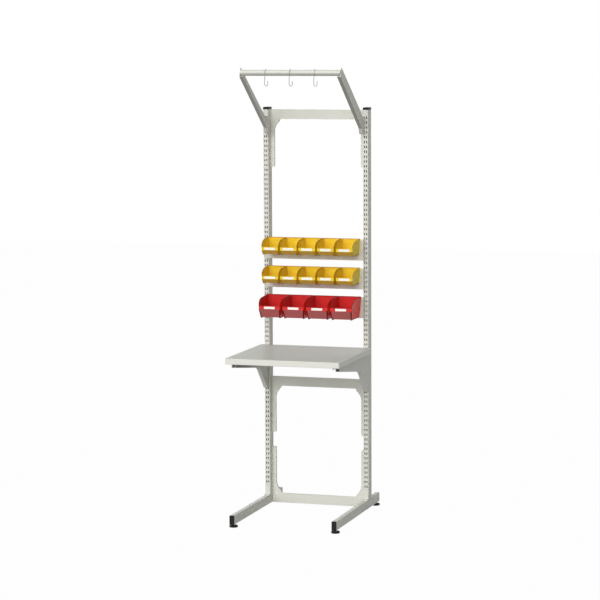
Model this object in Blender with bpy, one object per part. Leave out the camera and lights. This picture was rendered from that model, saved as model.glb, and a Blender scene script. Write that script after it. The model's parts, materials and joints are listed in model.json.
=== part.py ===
"""Line workbench: slotted posts on levelled base legs, a cantilevered deck, bin rails and a hanger bar.

Metres, +Z up, +X to the right and -Y to the front.
The origin lies on the floor under the middle of the base.
"""
import math

import bmesh
import bpy
from mathutils import Vector

# Fits between pieces, and how far a cutter runs past what it cuts
SEAT_GAP = 0.0003
CUT_OVERRUN = 0.004
WELD_DEPTH = 0.001

# Base legs: rectangular tube on edge, closed by plastic caps
BASE_LENGTH = 0.810
POST_SPACING = 0.540
POST_SETBACK = 0.593
LEG_CLEARANCE = 0.016
LEG_WIDTH = 0.025
LEG_HEIGHT = 0.048
LEG_WALL = 0.002
LEG_CORNER_RADIUS = 0.004
LEG_CAP_THICKNESS = 0.006
LEG_CAP_EDGE = 0.0015
SPIGOT_DEPTH = 0.014
SPIGOT_INSET = 0.0006

# Plate welded on the leg, which the post stands on
FOOT_PLATE_THICKNESS = 0.004
FOOT_PLATE_OVERHANG = 0.024

# Levelling feet: pad, threaded stem, lock nut
FOOT_INSET = 0.030
PAD_RADIUS = 0.022
PAD_HEIGHT = 0.011
PAD_HUB_RADIUS = 0.012
PAD_EDGE = 0.0015
PAD_DISH = 0.001
STEM_RADIUS = 0.005
STEM_LENGTH = 0.048
STEM_HOLE_CLEARANCE = 0.0005
STEM_CHAMFER = 0.001
LOCK_NUT_RADIUS = 0.0095
LOCK_NUT_HEIGHT = 0.004
LOCK_NUT_CORNERS = 6
THREAD_CLEARANCE = 0.0002

# Posts: rectangular tube with two columns of slots in the front wall
POST_WIDTH = 0.028
POST_DEPTH = 0.060
POST_LENGTH = 2.030
POST_WALL = 0.002
POST_CORNER_RADIUS = 0.003
POST_CAP_HEIGHT = 0.012
POST_CAP_OVERHANG = 0.001
POST_CAP_EDGE = 0.004
SLOT_COLUMN_OFFSET = 0.0055
SLOT_WIDTH = 0.0050
SLOT_LENGTH = 0.012
SLOT_PITCH = 0.025
SLOT_COUNT = 78
FIRST_SLOT_HEIGHT = 0.065

# Lugs that hook into the slots
LUG_PLATE = 0.002
LUG_HEIGHT = 0.007
LUG_DROP = 0.004
LUG_THICKNESS = 0.0025

# Cross frames: one pressed pan, used three times
FRAME_HEIGHT = 0.300
FRAME_BEAM = 0.050
FRAME_TAIL = 0.0215
FRAME_DEPTH = 0.014
FRAME_SHEET = 0.002
FRAME_SETBACK = 0.034
FRAME_STEP = 0.0015
FRAME_GUSSET_WIDTH = 0.029
FRAME_GUSSET_HEIGHT = 0.041
FRAME_GUSSET_STEP = 0.007
FRAME_GUSSET_RADIUS = 0.060
FRAME_TAIL_RADIUS = 0.009
FRAME_CORNER_RADIUS = 0.004
TOP_FRAME_DROP = 0.001
BOTTOM_FRAME_BASE = 0.018
FRAME_TAIL_GAP = 0.075

# Bin rails: a folded strip with a hooked plate at each end
RAIL_HEIGHT = 0.110
RAIL_SHEET = 0.0015
RAIL_PROJECTION = 0.030
RAIL_RETURN = 0.016
RAIL_LIP = 0.010
RAIL_FOLD_RADIUS = 0.003
RAIL_SLOT_DROP = 0.0105
RAIL_LUG_STEP = 3
RAIL_SLOTS = (48, 42, 36)

# Deck: a board with an edging all round
DECK_OVERHANG = 0.016
DECK_DEPTH = 0.585
DECK_THICKNESS = 0.030
DECK_BACK_GAP = 0.008
DECK_EDGING = 0.003
DECK_CORNER_RADIUS = 0.006
DECK_EDGE_ROUND = 0.0015

# Deck brackets: folded U section with a short nose on the hooked plate
BRACKET_SLOTS = (27, 21)
BRACKET_RISE = 0.028
BRACKET_LENGTH = 0.533
BRACKET_NOSE = 0.050
BRACKET_NOSE_HEIGHT = 0.008
BRACKET_NOSE_LIP = 0.005
BRACKET_FRONT_HEIGHT = 0.024
BRACKET_KNEE_REACH = 0.140
BRACKET_KNEE_HEIGHT = 0.076
BRACKET_KNEE_RADIUS = 0.060
BRACKET_FOOT_REACH = 0.014
BRACKET_FOOT_RADIUS = 0.015
BRACKET_HEIGHT = 0.200
BRACKET_SHEET = 0.002

# Arms: folded U section, raked up to the front
ARM_SLOTS = (77, 74)
ARM_FOOT_DROP = 0.0075
ARM_HEAD_RISE = 0.0070
ARM_WIDTH = 0.0185
ARM_SHEET = 0.002
ARM_HEEL_REACH = 0.036
ARM_HEEL_RADIUS = 0.006
ARM_ANKLE_REACH = 0.052
ARM_ANKLE_HEIGHT = 0.033
ARM_ANKLE_RADIUS = 0.030
ARM_TOE_REACH = 0.436
ARM_TOE_HEIGHT = 0.301
ARM_TIP_REACH = 0.414
ARM_TIP_HEIGHT = 0.345
ARM_TIP_WIDTH = 0.008
ARM_CREST_REACH = 0.399
ARM_CREST_HEIGHT = 0.336
ARM_NAPE_REACH = 0.050
ARM_NAPE_HEIGHT = 0.102
ARM_NAPE_RADIUS = 0.020
ARM_INNER_DROP = 0.034
ARM_SADDLE_SHARE = 0.25

# Hanger bar and the wire hooks on it
BAR_DIAMETER = 0.030
BAR_WALL = 0.0015
BAR_REACH = 0.422
BAR_HEIGHT = 0.320
HOOK_WIRE = 0.004
HOOK_SPACING = 0.129
HOOK_COUNT = 3
HOOK_LOWER_RADIUS = 0.0085
HOOK_DEPTH = 0.0655
HOOK_NECK = 0.012
HOOK_TIP = 0.016
HOOK_BALANCE = 0.0054
HOOK_CLOSE_SHARE = 0.14

# Bins: width, depth, height, front lip and the shape of the sides
BIN_WALL = 0.002
BIN_HOOK_SHEET = 0.002
BIN_HOOK_DROP = 0.008
BIN_HOOK_WIDTH_SHARE = 0.62
BIN_RIB_HEIGHT = 0.004
BIN_RIB_WIDTH = 0.003
BIN_RIB_INSET = 0.002
BIN_CARD_LEDGE = 0.0016
BIN_CARD_LENGTH = 0.060
YELLOW_BIN = {
    "pitch": 0.100, "count": 5, "width": 0.098, "base_width": 0.084, "depth": 0.130, "height": 0.078,
    "base_depth": 0.118, "band_height": 0.020, "lip_height": 0.036, "lip_lean": 0.002,
    "cheek": 0.055, "dip": 0.004,
}
RED_BIN = {
    "pitch": 0.128, "count": 4, "width": 0.126, "base_width": 0.104, "depth": 0.166, "height": 0.104,
    "base_depth": 0.148, "band_height": 0.043, "lip_height": 0.059, "lip_lean": 0.002,
    "cheek": 0.100, "dip": 0.007,
}

# How finely round shapes are cut
CORNER_STEPS = 3
ARC_STEPS = 6
ROUND_SIDES = 18
STEM_SIDES = 12
BAR_SIDES = 28
WIRE_SIDES = 6
SMOOTH_ANGLE = math.radians(35)
WIRE_SMOOTH_ANGLE = math.radians(65)

# Places that follow from the sizes above
POST_CENTRE = POST_SPACING / 2
BASE_FRONT = -BASE_LENGTH / 2
POST_FRONT = BASE_FRONT + POST_SETBACK
LEG_TOP = LEG_CLEARANCE + LEG_HEIGHT
FOOT_PLATE_TOP = LEG_TOP + FOOT_PLATE_THICKNESS
DECK_WIDTH = POST_SPACING + POST_WIDTH + 2 * DECK_OVERHANG
MIDDLE_FRAME_TOP = BOTTOM_FRAME_BASE + FRAME_HEIGHT + FRAME_TAIL_GAP + FRAME_HEIGHT
POST_BOTTOM = FOOT_PLATE_TOP + SEAT_GAP
POST_TOP = POST_BOTTOM + POST_LENGTH
INNER_COLUMN = POST_CENTRE - SLOT_COLUMN_OFFSET
LUG_FACE = POST_FRONT - SEAT_GAP
SIDES = (("left", -1), ("right", 1))


def material(name, colour, roughness, metallic=0.0):
    """A plain surface with one colour."""
    made = bpy.data.materials.new(name)
    made.use_nodes = True
    shader = made.node_tree.nodes["Principled BSDF"]
    shader.inputs["Base Color"].default_value = (*colour, 1.0)
    shader.inputs["Roughness"].default_value = roughness
    shader.inputs["Metallic"].default_value = metallic
    return made


def in_space(axis, u, v, along):
    """A point of an outline, (u, v), set at a distance along the axis that the outline is square to."""
    if axis == "X":
        return (along, u, v)
    if axis == "Y":
        return (u, along, v)
    return (u, v, along)


def mesh_object(name, points, faces):
    """An object from points and faces, with every face turned outwards."""
    mesh = bpy.data.meshes.new(name)
    mesh.from_pydata(points, [], faces)
    build = bmesh.new()
    build.from_mesh(mesh)
    bmesh.ops.recalc_face_normals(build, faces=build.faces)
    build.to_mesh(mesh)
    build.free()
    made = bpy.data.objects.new(name, mesh)
    bpy.context.scene.collection.objects.link(made)
    return made


def loft(name, loops):
    """A closed body through loops of equally many points, flat at both ends."""
    count = len(loops[0])
    points = [point for loop in loops for point in loop]
    faces = [list(range(count)), list(range(len(points) - count, len(points)))]
    for level in range(len(loops) - 1):
        low = level * count
        for step in range(count):
            after = (step + 1) % count
            faces.append([low + step, low + after, low + count + after, low + count + step])
    return mesh_object(name, points, faces)


def prism(name, outline, axis, low, high):
    """An outline carried straight along an axis."""
    return loft(name, [[in_space(axis, u, v, along) for u, v in outline] for along in (low, high)])


def tube(name, outer, inner, axis, low, high):
    """A straight tube between two outlines of equally many points, open at both ends."""
    loops = [[in_space(axis, u, v, along) for u, v in outline]
             for outline, along in ((outer, low), (outer, high), (inner, high), (inner, low))]
    count = len(outer)
    points = [point for loop in loops for point in loop]
    faces = []
    for level in range(len(loops)):
        here, there = level * count, (level + 1) % len(loops) * count
        for step in range(count):
            after = (step + 1) % count
            faces.append([here + step, here + after, there + after, there + step])
    return mesh_object(name, points, faces)


def sweep(name, path, radius):
    """A round wire along a path of points, with its section carried round each bend without a twist."""
    path = [Vector(point) for point in path]
    loops, across = [], None
    for place, point in enumerate(path):
        along = path[min(place + 1, len(path) - 1)] - path[max(place - 1, 0)]
        along.normalize()
        across = along.orthogonal() if across is None else across - along * across.dot(along)
        across.normalize()
        third = along.cross(across)
        loops.append([point + across * u + third * v for u, v in circle(radius, WIRE_SIDES)])
    return loft(name, loops)


def circle(radius, sides, u=0, v=0, corners=0):
    """Points round a circle. With corners, they lie on a regular polygon of that many corners instead."""
    points = []
    for step in range(sides):
        angle = 2 * math.pi * step / sides
        reach = radius
        if corners:
            wedge = math.pi / corners
            reach = radius * math.cos(wedge) / math.cos(angle % (2 * wedge) - wedge)
        points.append((u + reach * math.cos(angle), v + reach * math.sin(angle)))
    return points


def rounded(corners, radii, closed=True):
    """A path whose corners are rounded, each by its own radius, limited by the sides that meet there."""
    path = []
    for place, corner in enumerate(corners):
        radius = radii[place]
        if radius == 0 or (not closed and place in (0, len(corners) - 1)):
            path.append(corner)
            continue
        before, after = corners[place - 1], corners[(place + 1) % len(corners)]
        back = (before[0] - corner[0], before[1] - corner[1])
        ahead = (after[0] - corner[0], after[1] - corner[1])
        back_length, ahead_length = math.hypot(*back), math.hypot(*ahead)
        back = (back[0] / back_length, back[1] / back_length)
        ahead = (ahead[0] / ahead_length, ahead[1] / ahead_length)
        half = math.acos(max(-1, min(1, back[0] * ahead[0] + back[1] * ahead[1]))) / 2
        cut = min(radius / math.tan(half), back_length / 2, ahead_length / 2)
        middle = (back[0] + ahead[0], back[1] + ahead[1])
        length = math.hypot(*middle)
        reach = cut / math.cos(half)
        centre = (corner[0] + middle[0] / length * reach, corner[1] + middle[1] / length * reach)
        start = math.atan2(corner[1] + back[1] * cut - centre[1], corner[0] + back[0] * cut - centre[0])
        end = math.atan2(corner[1] + ahead[1] * cut - centre[1], corner[0] + ahead[0] * cut - centre[0])
        turn = (end - start + math.pi) % (2 * math.pi) - math.pi
        for step in range(CORNER_STEPS + 1):
            angle = start + turn * step / CORNER_STEPS
            spread = cut * math.tan(half)
            path.append((centre[0] + spread * math.cos(angle), centre[1] + spread * math.sin(angle)))
    return path


def rectangle(width, height, radius, u=0, v=0):
    """A rectangle round (u, v) with rounded corners."""
    corners = [(u - width / 2, v - height / 2), (u + width / 2, v - height / 2),
               (u + width / 2, v + height / 2), (u - width / 2, v + height / 2)]
    return rounded(corners, [radius] * len(corners))


def shifted(path, distance, closed=False):
    """A path moved sideways, to its left where the distance is positive, with mitred corners."""
    moved = []
    count = len(path)
    for place, point in enumerate(path):
        normals = []
        for first, second in ((place - 1, place), (place, place + 1)):
            if not closed and (first < 0 or second >= count):
                continue
            start, end = path[first % count], path[second % count]
            length = math.hypot(end[0] - start[0], end[1] - start[1])
            normals.append(((start[1] - end[1]) / length, (end[0] - start[0]) / length))
        sum_u, sum_v = sum(n[0] for n in normals), sum(n[1] for n in normals)
        scale = len(normals) * distance / (sum_u * sum_u + sum_v * sum_v)
        moved.append((point[0] + sum_u * scale, point[1] + sum_v * scale))
    return moved


def arc(centre_u, centre_v, radius_u, radius_v, start, end, steps=ARC_STEPS):
    """Points along an elliptical arc between two angles in degrees."""
    angles = [math.radians(start + (end - start) * step / steps) for step in range(steps + 1)]
    return [(centre_u + radius_u * math.cos(angle), centre_v + radius_v * math.sin(angle))
            for angle in angles]


def combine(piece, other, operation):
    """Cut the other body from a piece, or add it, and keep the result as the piece's own mesh."""
    modifier = piece.modifiers.new("shape", "BOOLEAN")
    modifier.object = other
    modifier.operation = operation
    modifier.solver = "EXACT"
    graph = bpy.context.evaluated_depsgraph_get()
    result = bpy.data.meshes.new_from_object(piece.evaluated_get(graph))
    piece.modifiers.clear()
    piece.data = result
    bpy.data.objects.remove(other)


def cut(piece, cutter):
    """Take the cutter's space out of a piece."""
    combine(piece, cutter, "DIFFERENCE")


def add(piece, other):
    """Weld another body to a piece."""
    combine(piece, other, "UNION")


def finish(piece, surface, angle=SMOOTH_ANGLE):
    """Give a piece its surface, smooth over its round stretches only."""
    piece.data.materials.clear()
    piece.data.materials.append(surface)
    piece.data.shade_smooth()
    piece.data.set_sharp_from_angle(angle=angle)
    return piece


def span(side, near, far):
    """Two distances from the middle of the bench, on one side of it, in rising order."""
    return sorted((side * near, side * far))


def slot_height(index):
    """The height of the middle of a slot, counted from the lowest."""
    return POST_BOTTOM + FIRST_SLOT_HEIGHT + index * SLOT_PITCH


def lug(index):
    """The outline of a lug, going up the hooked edge of a plate: in through the wall and down behind it."""
    seat = slot_height(index) - SLOT_LENGTH / 2 + SEAT_GAP
    inside = POST_FRONT + POST_WALL + SEAT_GAP
    return [(LUG_FACE, seat), (inside, seat), (inside, seat - LUG_DROP),
            (inside + LUG_THICKNESS, seat - LUG_DROP), (inside + LUG_THICKNESS, seat + LUG_HEIGHT),
            (LUG_FACE, seat + LUG_HEIGHT)]


def make_leg(name, side, steel):
    """A base leg with its foot plate and the holes of its levelling feet."""
    middle = LEG_CLEARANCE + LEG_HEIGHT / 2
    outer = rectangle(LEG_WIDTH, LEG_HEIGHT, LEG_CORNER_RADIUS, side * POST_CENTRE, middle)
    inner = rectangle(LEG_WIDTH - 2 * LEG_WALL, LEG_HEIGHT - 2 * LEG_WALL, LEG_CORNER_RADIUS - LEG_WALL,
                      side * POST_CENTRE, middle)
    reach = BASE_LENGTH / 2 - LEG_CAP_THICKNESS - SEAT_GAP
    leg = tube(name, outer, inner, "Y", -reach, reach)
    for end in (-1, 1):
        hole = circle(STEM_RADIUS + STEM_HOLE_CLEARANCE, STEM_SIDES, side * POST_CENTRE,
                      end * (BASE_LENGTH / 2 - FOOT_INSET))
        below, above = LEG_CLEARANCE - CUT_OVERRUN, LEG_CLEARANCE + LEG_WALL + CUT_OVERRUN
        cut(leg, prism("hole", hole, "Z", below, above))
    outline = rectangle(POST_WIDTH, POST_DEPTH + 2 * FOOT_PLATE_OVERHANG, POST_CORNER_RADIUS,
                        side * POST_CENTRE, POST_FRONT + POST_DEPTH / 2)
    add(leg, prism("foot_plate", outline, "Z", LEG_TOP - WELD_DEPTH, FOOT_PLATE_TOP))
    return finish(leg, steel)


def make_leg_cap(name, side, end, plastic):
    """A plug in one end of a leg: a spigot inside the tube and a face with rounded edges outside it."""
    middle = LEG_CLEARANCE + LEG_HEIGHT / 2
    seat = BASE_LENGTH / 2 - LEG_CAP_THICKNESS
    bore = (LEG_WIDTH - 2 * LEG_WALL - 2 * SPIGOT_INSET, LEG_HEIGHT - 2 * LEG_WALL - 2 * SPIGOT_INSET)
    bore_radius = LEG_CORNER_RADIUS - LEG_WALL
    face = (LEG_WIDTH, LEG_HEIGHT)
    front = (LEG_WIDTH - 2 * LEG_CAP_EDGE, LEG_HEIGHT - 2 * LEG_CAP_EDGE)
    levels = ((bore, bore_radius, seat - SPIGOT_DEPTH), (bore, bore_radius, seat),
              (face, LEG_CORNER_RADIUS, seat), (face, LEG_CORNER_RADIUS, BASE_LENGTH / 2 - LEG_CAP_EDGE),
              (front, LEG_CORNER_RADIUS, BASE_LENGTH / 2))
    loops = [[in_space("Y", u, v, end * along)
              for u, v in rectangle(*size, radius, side * POST_CENTRE, middle)]
             for size, radius, along in levels]
    return finish(loft(name, loops), plastic)


def make_pad(name, u, v, plastic):
    """A levelling foot's round pad, low and domed."""
    brim = PAD_HEIGHT - PAD_DISH
    levels = ((PAD_RADIUS - PAD_EDGE, 0), (PAD_RADIUS, PAD_EDGE), (PAD_RADIUS, brim - PAD_EDGE),
              (PAD_RADIUS - PAD_EDGE, brim), (PAD_HUB_RADIUS, PAD_HEIGHT))
    loops = [[(*point, height) for point in circle(radius, ROUND_SIDES)] for radius, height in levels]
    pad = loft(name, loops)
    pad.location = (u, v, 0)
    return finish(pad, plastic)


def make_stem(name, u, v, steel):
    """A levelling foot's stem: a threaded rod that stands on the pad and runs up into the leg."""
    base = PAD_HEIGHT + SEAT_GAP
    top = base + STEM_LENGTH
    levels = ((STEM_RADIUS, base), (STEM_RADIUS, top - STEM_CHAMFER), (STEM_RADIUS - STEM_CHAMFER, top))
    loops = [[(*point, height) for point in circle(radius, STEM_SIDES)] for radius, height in levels]
    stem = loft(name, loops)
    stem.location = (u, v, 0)
    return finish(stem, steel)


def make_lock_nut(name, u, v, steel):
    """The nut that locks a stem against the underside of the leg."""
    top = LEG_CLEARANCE - SEAT_GAP
    nut = tube(name, circle(LOCK_NUT_RADIUS, STEM_SIDES, corners=LOCK_NUT_CORNERS),
               circle(STEM_RADIUS + THREAD_CLEARANCE, STEM_SIDES), "Z", top - LOCK_NUT_HEIGHT, top)
    nut.location = (u, v, 0)
    return finish(nut, steel)


def make_post(name, side, steel):
    """A post: rectangular tube, with both columns of slots cut through its front wall."""
    centre = POST_FRONT + POST_DEPTH / 2
    outer = rectangle(POST_WIDTH, POST_DEPTH, POST_CORNER_RADIUS, side * POST_CENTRE, centre)
    inner = rectangle(POST_WIDTH - 2 * POST_WALL, POST_DEPTH - 2 * POST_WALL,
                      POST_CORNER_RADIUS - POST_WALL, side * POST_CENTRE, centre)
    post = tube(name, outer, inner, "Z", POST_BOTTOM, POST_TOP)
    points, faces = [], []
    for index in range(SLOT_COUNT):
        for column in (-1, 1):
            u = side * POST_CENTRE + column * SLOT_COLUMN_OFFSET
            first = len(points)
            for along in (POST_FRONT - CUT_OVERRUN, POST_FRONT + POST_WALL + CUT_OVERRUN):
                slot = rectangle(SLOT_WIDTH, SLOT_LENGTH, 0, u, slot_height(index))
                points += [in_space("Y", a, b, along) for a, b in slot]
            faces += [[first + corner for corner in face] for face in
                      ((0, 1, 2, 3), (4, 5, 6, 7), (0, 1, 5, 4), (1, 2, 6, 5), (2, 3, 7, 6), (3, 0, 4, 7))]
    cut(post, mesh_object("slots", points, faces))
    return finish(post, steel)


def make_post_cap(name, side, plastic):
    """The plug in the top of a post: a spigot in the tube and a pillowed head on it."""
    base = POST_TOP + SEAT_GAP
    head = (POST_WIDTH + 2 * POST_CAP_OVERHANG, POST_DEPTH + 2 * POST_CAP_OVERHANG)
    bore = (POST_WIDTH - 2 * POST_WALL - 2 * SPIGOT_INSET, POST_DEPTH - 2 * POST_WALL - 2 * SPIGOT_INSET)
    bore_radius = POST_CORNER_RADIUS - POST_WALL
    levels = [(bore, bore_radius, base - SPIGOT_DEPTH), (bore, bore_radius, base),
              (head, POST_CORNER_RADIUS, base)]
    for step in range(CORNER_STEPS + 1):
        angle = math.pi / 2 * step / CORNER_STEPS
        inset = POST_CAP_EDGE * (1 - math.cos(angle))
        rise = POST_CAP_HEIGHT - POST_CAP_EDGE * (1 - math.sin(angle))
        levels.append(((head[0] - 2 * inset, head[1] - 2 * inset), POST_CORNER_RADIUS, base + rise))
    centre = POST_FRONT + POST_DEPTH / 2
    loops = [[(*point, height) for point in rectangle(*size, radius, side * POST_CENTRE, centre)]
             for size, radius, height in levels]
    return finish(loft(name, loops), plastic)


def make_frame(name, top, turned_over, steel):
    """A cross frame: beam, gussets and tails pressed as one pan, with its flange turned to the back."""
    half = POST_CENTRE - POST_WIDTH / 2 - SEAT_GAP
    edge = half - FRAME_TAIL
    inner = edge - FRAME_GUSSET_WIDTH
    right = rounded([(0, 0), (half, 0), (half, -FRAME_HEIGHT), (edge, -FRAME_HEIGHT),
                     (edge, -FRAME_BEAM - FRAME_GUSSET_HEIGHT), (inner, -FRAME_BEAM - FRAME_GUSSET_STEP),
                     (inner, -FRAME_BEAM)],
                    [0, FRAME_CORNER_RADIUS, FRAME_CORNER_RADIUS, FRAME_TAIL_RADIUS, FRAME_GUSSET_RADIUS,
                     FRAME_CORNER_RADIUS, 0], closed=False)[1:]
    outline = right + [(-u, v) for u, v in reversed(right)]
    beam = [(half, 0), (half, -FRAME_BEAM), (-half, -FRAME_BEAM), (-half, 0)]
    rise = -1 if turned_over else 1
    outline = [(u, top + rise * v) for u, v in outline][::rise]
    beam = [(u, top + rise * v) for u, v in beam]
    front = POST_FRONT + FRAME_SETBACK
    frame = prism(name, outline, "Y", front + FRAME_STEP, front + FRAME_DEPTH)
    add(frame, prism("beam", beam, "Y", front, front + FRAME_STEP + FRAME_SHEET))
    hollow = shifted(outline, -FRAME_SHEET, closed=True)
    back = front + FRAME_DEPTH + CUT_OVERRUN
    cut(frame, prism("hollow", hollow, "Y", front + FRAME_STEP + FRAME_SHEET, back))
    return finish(frame, steel)


def make_rail(name, slot, steel):
    """A bin rail: a folded strip whose top edge carries the bins, and a hooked plate at each end."""
    base = slot_height(slot) - RAIL_SLOT_DROP
    face = POST_FRONT - RAIL_PROJECTION
    path = rounded([(face + RAIL_RETURN, base + RAIL_LIP), (face + RAIL_RETURN, base), (face, base),
                    (face, base + RAIL_HEIGHT)], [0, RAIL_FOLD_RADIUS, RAIL_FOLD_RADIUS, 0], closed=False)
    section = path + shifted(path, -RAIL_SHEET)[::-1]
    reach = INNER_COLUMN
    rail = prism(name, section, "X", -reach, reach)
    edge = rounded([(face, base + RAIL_HEIGHT), (face, base), (LUG_FACE, base)], [0, RAIL_FOLD_RADIUS, 0],
                   closed=False)
    lugs = [point for index in (slot, slot + RAIL_LUG_STEP) for point in lug(index)]
    outline = edge + lugs + [(LUG_FACE, base + RAIL_HEIGHT)]
    for side in (-1, 1):
        low, high = span(side, INNER_COLUMN - LUG_PLATE / 2, INNER_COLUMN + LUG_PLATE / 2)
        add(rail, prism("end_plate", outline, "X", low, high))
    return finish(rail, steel)


def make_deck(laminate, edge_plastic):
    """The deck board and the edging that runs round it."""
    top = slot_height(BRACKET_SLOTS[0]) + BRACKET_RISE + SEAT_GAP + DECK_THICKNESS
    back = POST_FRONT - DECK_BACK_GAP
    centre = back - DECK_DEPTH / 2
    inner = DECK_EDGING + SEAT_GAP
    levels = ((DECK_EDGE_ROUND, top - DECK_THICKNESS), (0, top - DECK_THICKNESS + DECK_EDGE_ROUND),
              (0, top - DECK_EDGE_ROUND), (DECK_EDGE_ROUND, top))
    outer_loops = []
    for inset, height in levels:
        edge = rectangle(DECK_WIDTH - 2 * inset, DECK_DEPTH - 2 * inset, DECK_CORNER_RADIUS, 0, centre)
        outer_loops.append([(*point, height) for point in edge])
    opening = rectangle(DECK_WIDTH - 2 * DECK_EDGING, DECK_DEPTH - 2 * DECK_EDGING,
                        DECK_CORNER_RADIUS - DECK_EDGING, 0, centre)
    edging = loft("deck_edging", outer_loops)
    cut(edging, prism("inside", opening, "Z", top - DECK_THICKNESS - CUT_OVERRUN, top + CUT_OVERRUN))
    finish(edging, edge_plastic)
    outline = rectangle(DECK_WIDTH - 2 * inner, DECK_DEPTH - 2 * inner,
                        DECK_CORNER_RADIUS - inner, 0, centre)
    finish(prism("deck_board", outline, "Z", top - DECK_THICKNESS, top), laminate)


def make_bracket(name, side, steel):
    """A deck bracket: U section open to the top, its inner plate hooked in the post, with a nose."""
    top = slot_height(BRACKET_SLOTS[0]) + BRACKET_RISE
    base = top - BRACKET_HEIGHT
    front = LUG_FACE - BRACKET_LENGTH
    lower = rounded([(front, top), (front, top - BRACKET_FRONT_HEIGHT),
                     (LUG_FACE - BRACKET_KNEE_REACH, top - BRACKET_KNEE_HEIGHT),
                     (LUG_FACE - BRACKET_FOOT_REACH, base), (LUG_FACE, base)],
                    [0, BRACKET_NOSE_LIP, BRACKET_KNEE_RADIUS, BRACKET_FOOT_RADIUS, 0], closed=False)
    lugs = [point for index in reversed(BRACKET_SLOTS) for point in lug(index)]
    near, far = INNER_COLUMN - LUG_PLATE / 2, POST_CENTRE + POST_WIDTH / 2
    bracket = prism(name, lower + [(LUG_FACE, top)], "X", *span(side, near, far))
    inside = shifted(lower, BRACKET_SHEET)[1:-1]
    room = [(front + BRACKET_SHEET, top + CUT_OVERRUN)] + inside
    room += [(LUG_FACE + CUT_OVERRUN, inside[-1][1]), (LUG_FACE + CUT_OVERRUN, top + CUT_OVERRUN)]
    cut(bracket, prism("room", room, "X", *span(side, near + LUG_PLATE, far - BRACKET_SHEET)))
    hooked = [(LUG_FACE - BRACKET_FOOT_REACH / 2, base)] + [(LUG_FACE, base)] + lugs
    hooked += [(LUG_FACE, top), (LUG_FACE - BRACKET_FOOT_REACH / 2, top)]
    add(bracket, prism("hooked_edge", hooked, "X", *span(side, near, near + LUG_PLATE)))
    tip = front - BRACKET_NOSE
    low = top - BRACKET_NOSE_HEIGHT
    nose = [(front + BRACKET_NOSE, top), (tip, top), (tip, low - BRACKET_NOSE_LIP),
            (tip + BRACKET_SHEET, low - BRACKET_NOSE_LIP), (tip + 2 * BRACKET_SHEET, low),
            (front + BRACKET_NOSE, low)]
    add(bracket, prism("nose", nose, "X", *span(side, near, near + LUG_PLATE)))
    return finish(bracket, steel)


def make_arm(name, side, steel):
    """An arm: U section open to the top, its outer plate hooked in the post, its inner plate a saddle."""
    base = slot_height(ARM_SLOTS[1]) - ARM_FOOT_DROP
    head = slot_height(ARM_SLOTS[0]) + ARM_HEAD_RISE
    toe = (LUG_FACE - ARM_TOE_REACH, base + ARM_TOE_HEIGHT)
    lower = rounded([(LUG_FACE, base), (LUG_FACE - ARM_HEEL_REACH, base),
                     (LUG_FACE - ARM_ANKLE_REACH, base + ARM_ANKLE_HEIGHT), toe],
                    [0, ARM_HEEL_RADIUS, ARM_ANKLE_RADIUS, 0], closed=False)
    tip = (LUG_FACE - ARM_TIP_REACH, base + ARM_TIP_HEIGHT)
    crest = (LUG_FACE - ARM_CREST_REACH, base + ARM_CREST_HEIGHT)
    nape = (LUG_FACE - ARM_NAPE_REACH, base + ARM_NAPE_HEIGHT)
    upper = rounded([tip, crest, nape, (LUG_FACE - ARM_HEEL_REACH, head), (LUG_FACE, head)],
                    [0, 0, ARM_NAPE_RADIUS, 0, 0], closed=False)
    lugs = [point for index in ARM_SLOTS for point in reversed(lug(index))]
    outline = lower + [(tip[0] - ARM_TIP_WIDTH, tip[1])] + upper + lugs
    far, near = INNER_COLUMN + LUG_PLATE / 2, INNER_COLUMN + LUG_PLATE / 2 - ARM_WIDTH
    arm = prism(name, outline, "X", *span(side, near, far))
    inside = shifted(lower, -ARM_SHEET)
    rise = (toe[1] - inside[-2][1]) / (inside[-2][0] - toe[0])
    ahead = (toe[0] - BAR_DIAMETER, inside[-1][1] + rise * (inside[-1][0] - toe[0] + BAR_DIAMETER))
    sky = ahead[1] + BAR_DIAMETER
    behind = POST_FRONT + POST_WALL + SEAT_GAP + LUG_THICKNESS + CUT_OVERRUN
    room = [(behind, inside[0][1])] + inside[:-1] + [ahead, (ahead[0], sky), (behind, sky)]
    cut(arm, prism("room", room, "X", *span(side, near + ARM_SHEET, far - LUG_PLATE)))
    lugs_off = [(LUG_FACE, base - CUT_OVERRUN), (behind, base - CUT_OVERRUN), (behind, sky),
                (LUG_FACE, sky)]
    cut(arm, prism("lugs_off", lugs_off, "X", *span(side, near - CUT_OVERRUN, far - LUG_PLATE)))
    seat = bar_centre()
    slope = (crest[1] - nape[1]) / (nape[0] - crest[0])
    rest = seat[1] - BAR_DIAMETER * ARM_SADDLE_SHARE
    low = nape[1] - ARM_INNER_DROP
    shoulder = (seat[0] + BAR_DIAMETER, low + (nape[0] - seat[0] - BAR_DIAMETER) * slope)
    lowered = [(ahead[0], rest), (seat[0] + BAR_DIAMETER / 2, rest), shoulder, (nape[0], low),
               (LUG_FACE + CUT_OVERRUN, low), (LUG_FACE + CUT_OVERRUN, sky), (ahead[0], sky)]
    inner_span = span(side, near - CUT_OVERRUN, far - LUG_PLATE)
    cut(arm, prism("lowered", lowered, "X", *inner_span))
    saddle = circle(BAR_DIAMETER / 2 + SEAT_GAP, BAR_SIDES, *seat)
    cut(arm, prism("saddle", saddle, "X", *inner_span))
    return finish(arm, steel)


def make_bar(steel):
    """The hanger bar, a round tube between the outer plates of the arms."""
    reach = INNER_COLUMN - LUG_PLATE / 2 - SEAT_GAP
    centre = bar_centre()
    bar = tube("hanger_bar", circle(BAR_DIAMETER / 2, BAR_SIDES, *centre),
               circle(BAR_DIAMETER / 2 - BAR_WALL, BAR_SIDES, *centre), "X", -reach, reach)
    return finish(bar, steel)


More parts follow.
